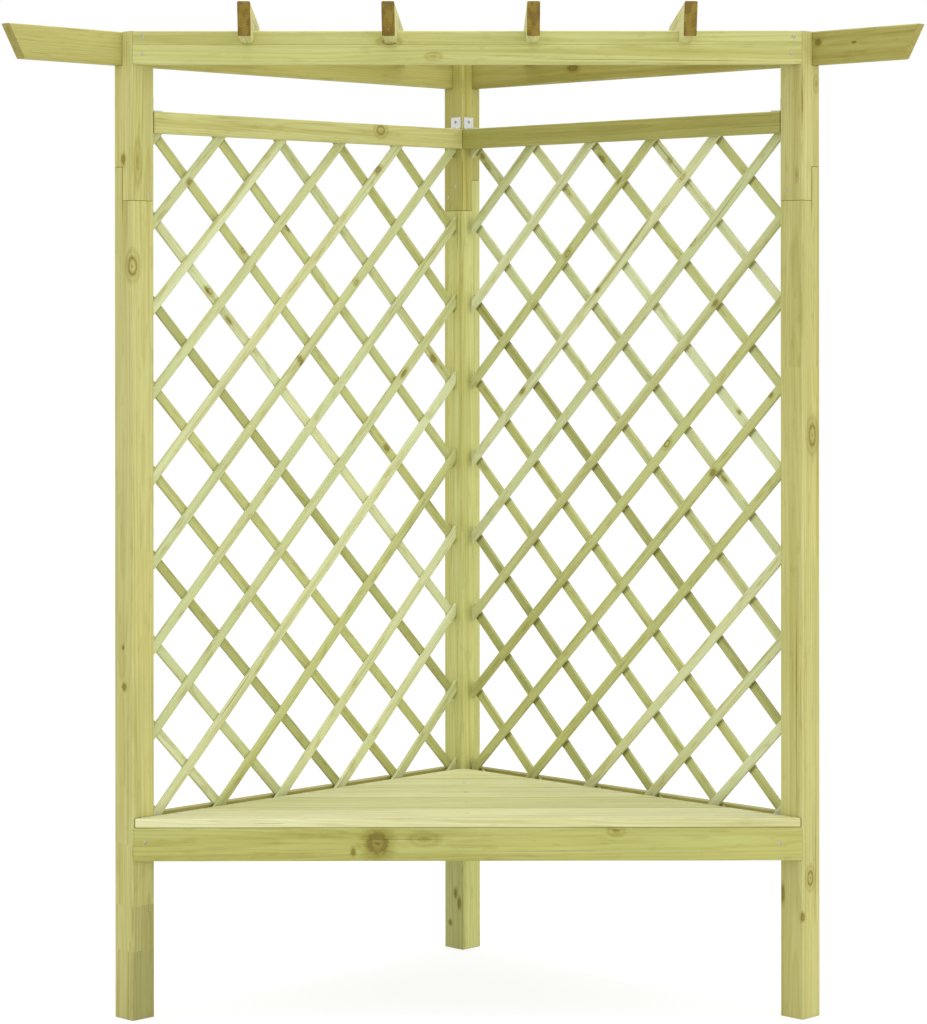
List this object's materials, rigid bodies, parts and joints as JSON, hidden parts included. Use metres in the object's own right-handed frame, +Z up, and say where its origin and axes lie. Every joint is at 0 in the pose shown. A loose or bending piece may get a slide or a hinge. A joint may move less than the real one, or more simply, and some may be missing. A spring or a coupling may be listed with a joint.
{
  "type": "corner arbour seat",
  "caption": "Corner garden arbour in treated pine: triangular slatted bench between two trellis walls on a corner post, under an open roof of notched rafters.",
  "frame": {"origin": "middle of the corner post's foot, on the ground", "axes": "+Z is up. The open front of the seat faces -Y, and the two trellis walls run forward from the corner post to the front posts at -X and +X."},
  "size_m": [1.7725, 0.9252, 1.989],
  "materials": {
    "treated_pine": "planed softwood, pressure treated, pale green-yellow, unvarnished",
    "treated_pine_pale": "planed softwood, pressure treated, paler, unvarnished",
    "treated_pine_deep": "planed softwood, pressure treated, deeper green, unvarnished",
    "zinc_plate": "zinc plated pressed steel, dull"
  },
  "bodies": {
    "root": {"left_front_post_lower": "treated_pine", "left_front_post_upper": "treated_pine", "back_post_lower": "treated_pine", "back_post_upper": "treated_pine", "right_front_post_lower": "treated_pine", "right_front_post_upper": "treated_pine", "left_top_beam": "treated_pine", "right_top_beam": "treated_pine", "front_top_rail": "treated_pine", "rafter_1": "treated_pine", "rafter_2": "treated_pine", "rafter_3": "treated_pine", "rafter_4": "treated_pine", "left_trellis_top_rail": "treated_pine", "left_trellis_bottom_rail": "treated_pine", "right_trellis_top_rail": "treated_pine", "right_trellis_bottom_rail": "treated_pine", "left_lattice": "treated_pine_pale", "right_lattice": "treated_pine_pale", "seat_board_1": "treated_pine_pale", "seat_board_2": "treated_pine_pale", "seat_board_3": "treated_pine_pale", "seat_board_4": "treated_pine_pale", "seat_board_5": "treated_pine_pale", "seat_apron": "treated_pine_deep", "left_seat_bearer": "treated_pine_deep", "right_seat_bearer": "treated_pine_deep", "center_seat_bearer": "treated_pine_deep", "left_front_upper_bracket": "zinc_plate", "left_front_lower_bracket": "zinc_plate", "left_back_upper_bracket": "zinc_plate", "left_back_lower_bracket": "zinc_plate", "right_front_upper_bracket": "zinc_plate", "right_front_lower_bracket": "zinc_plate", "right_back_upper_bracket": "zinc_plate", "right_back_lower_bracket": "zinc_plate"}
  },
  "joints": []
}
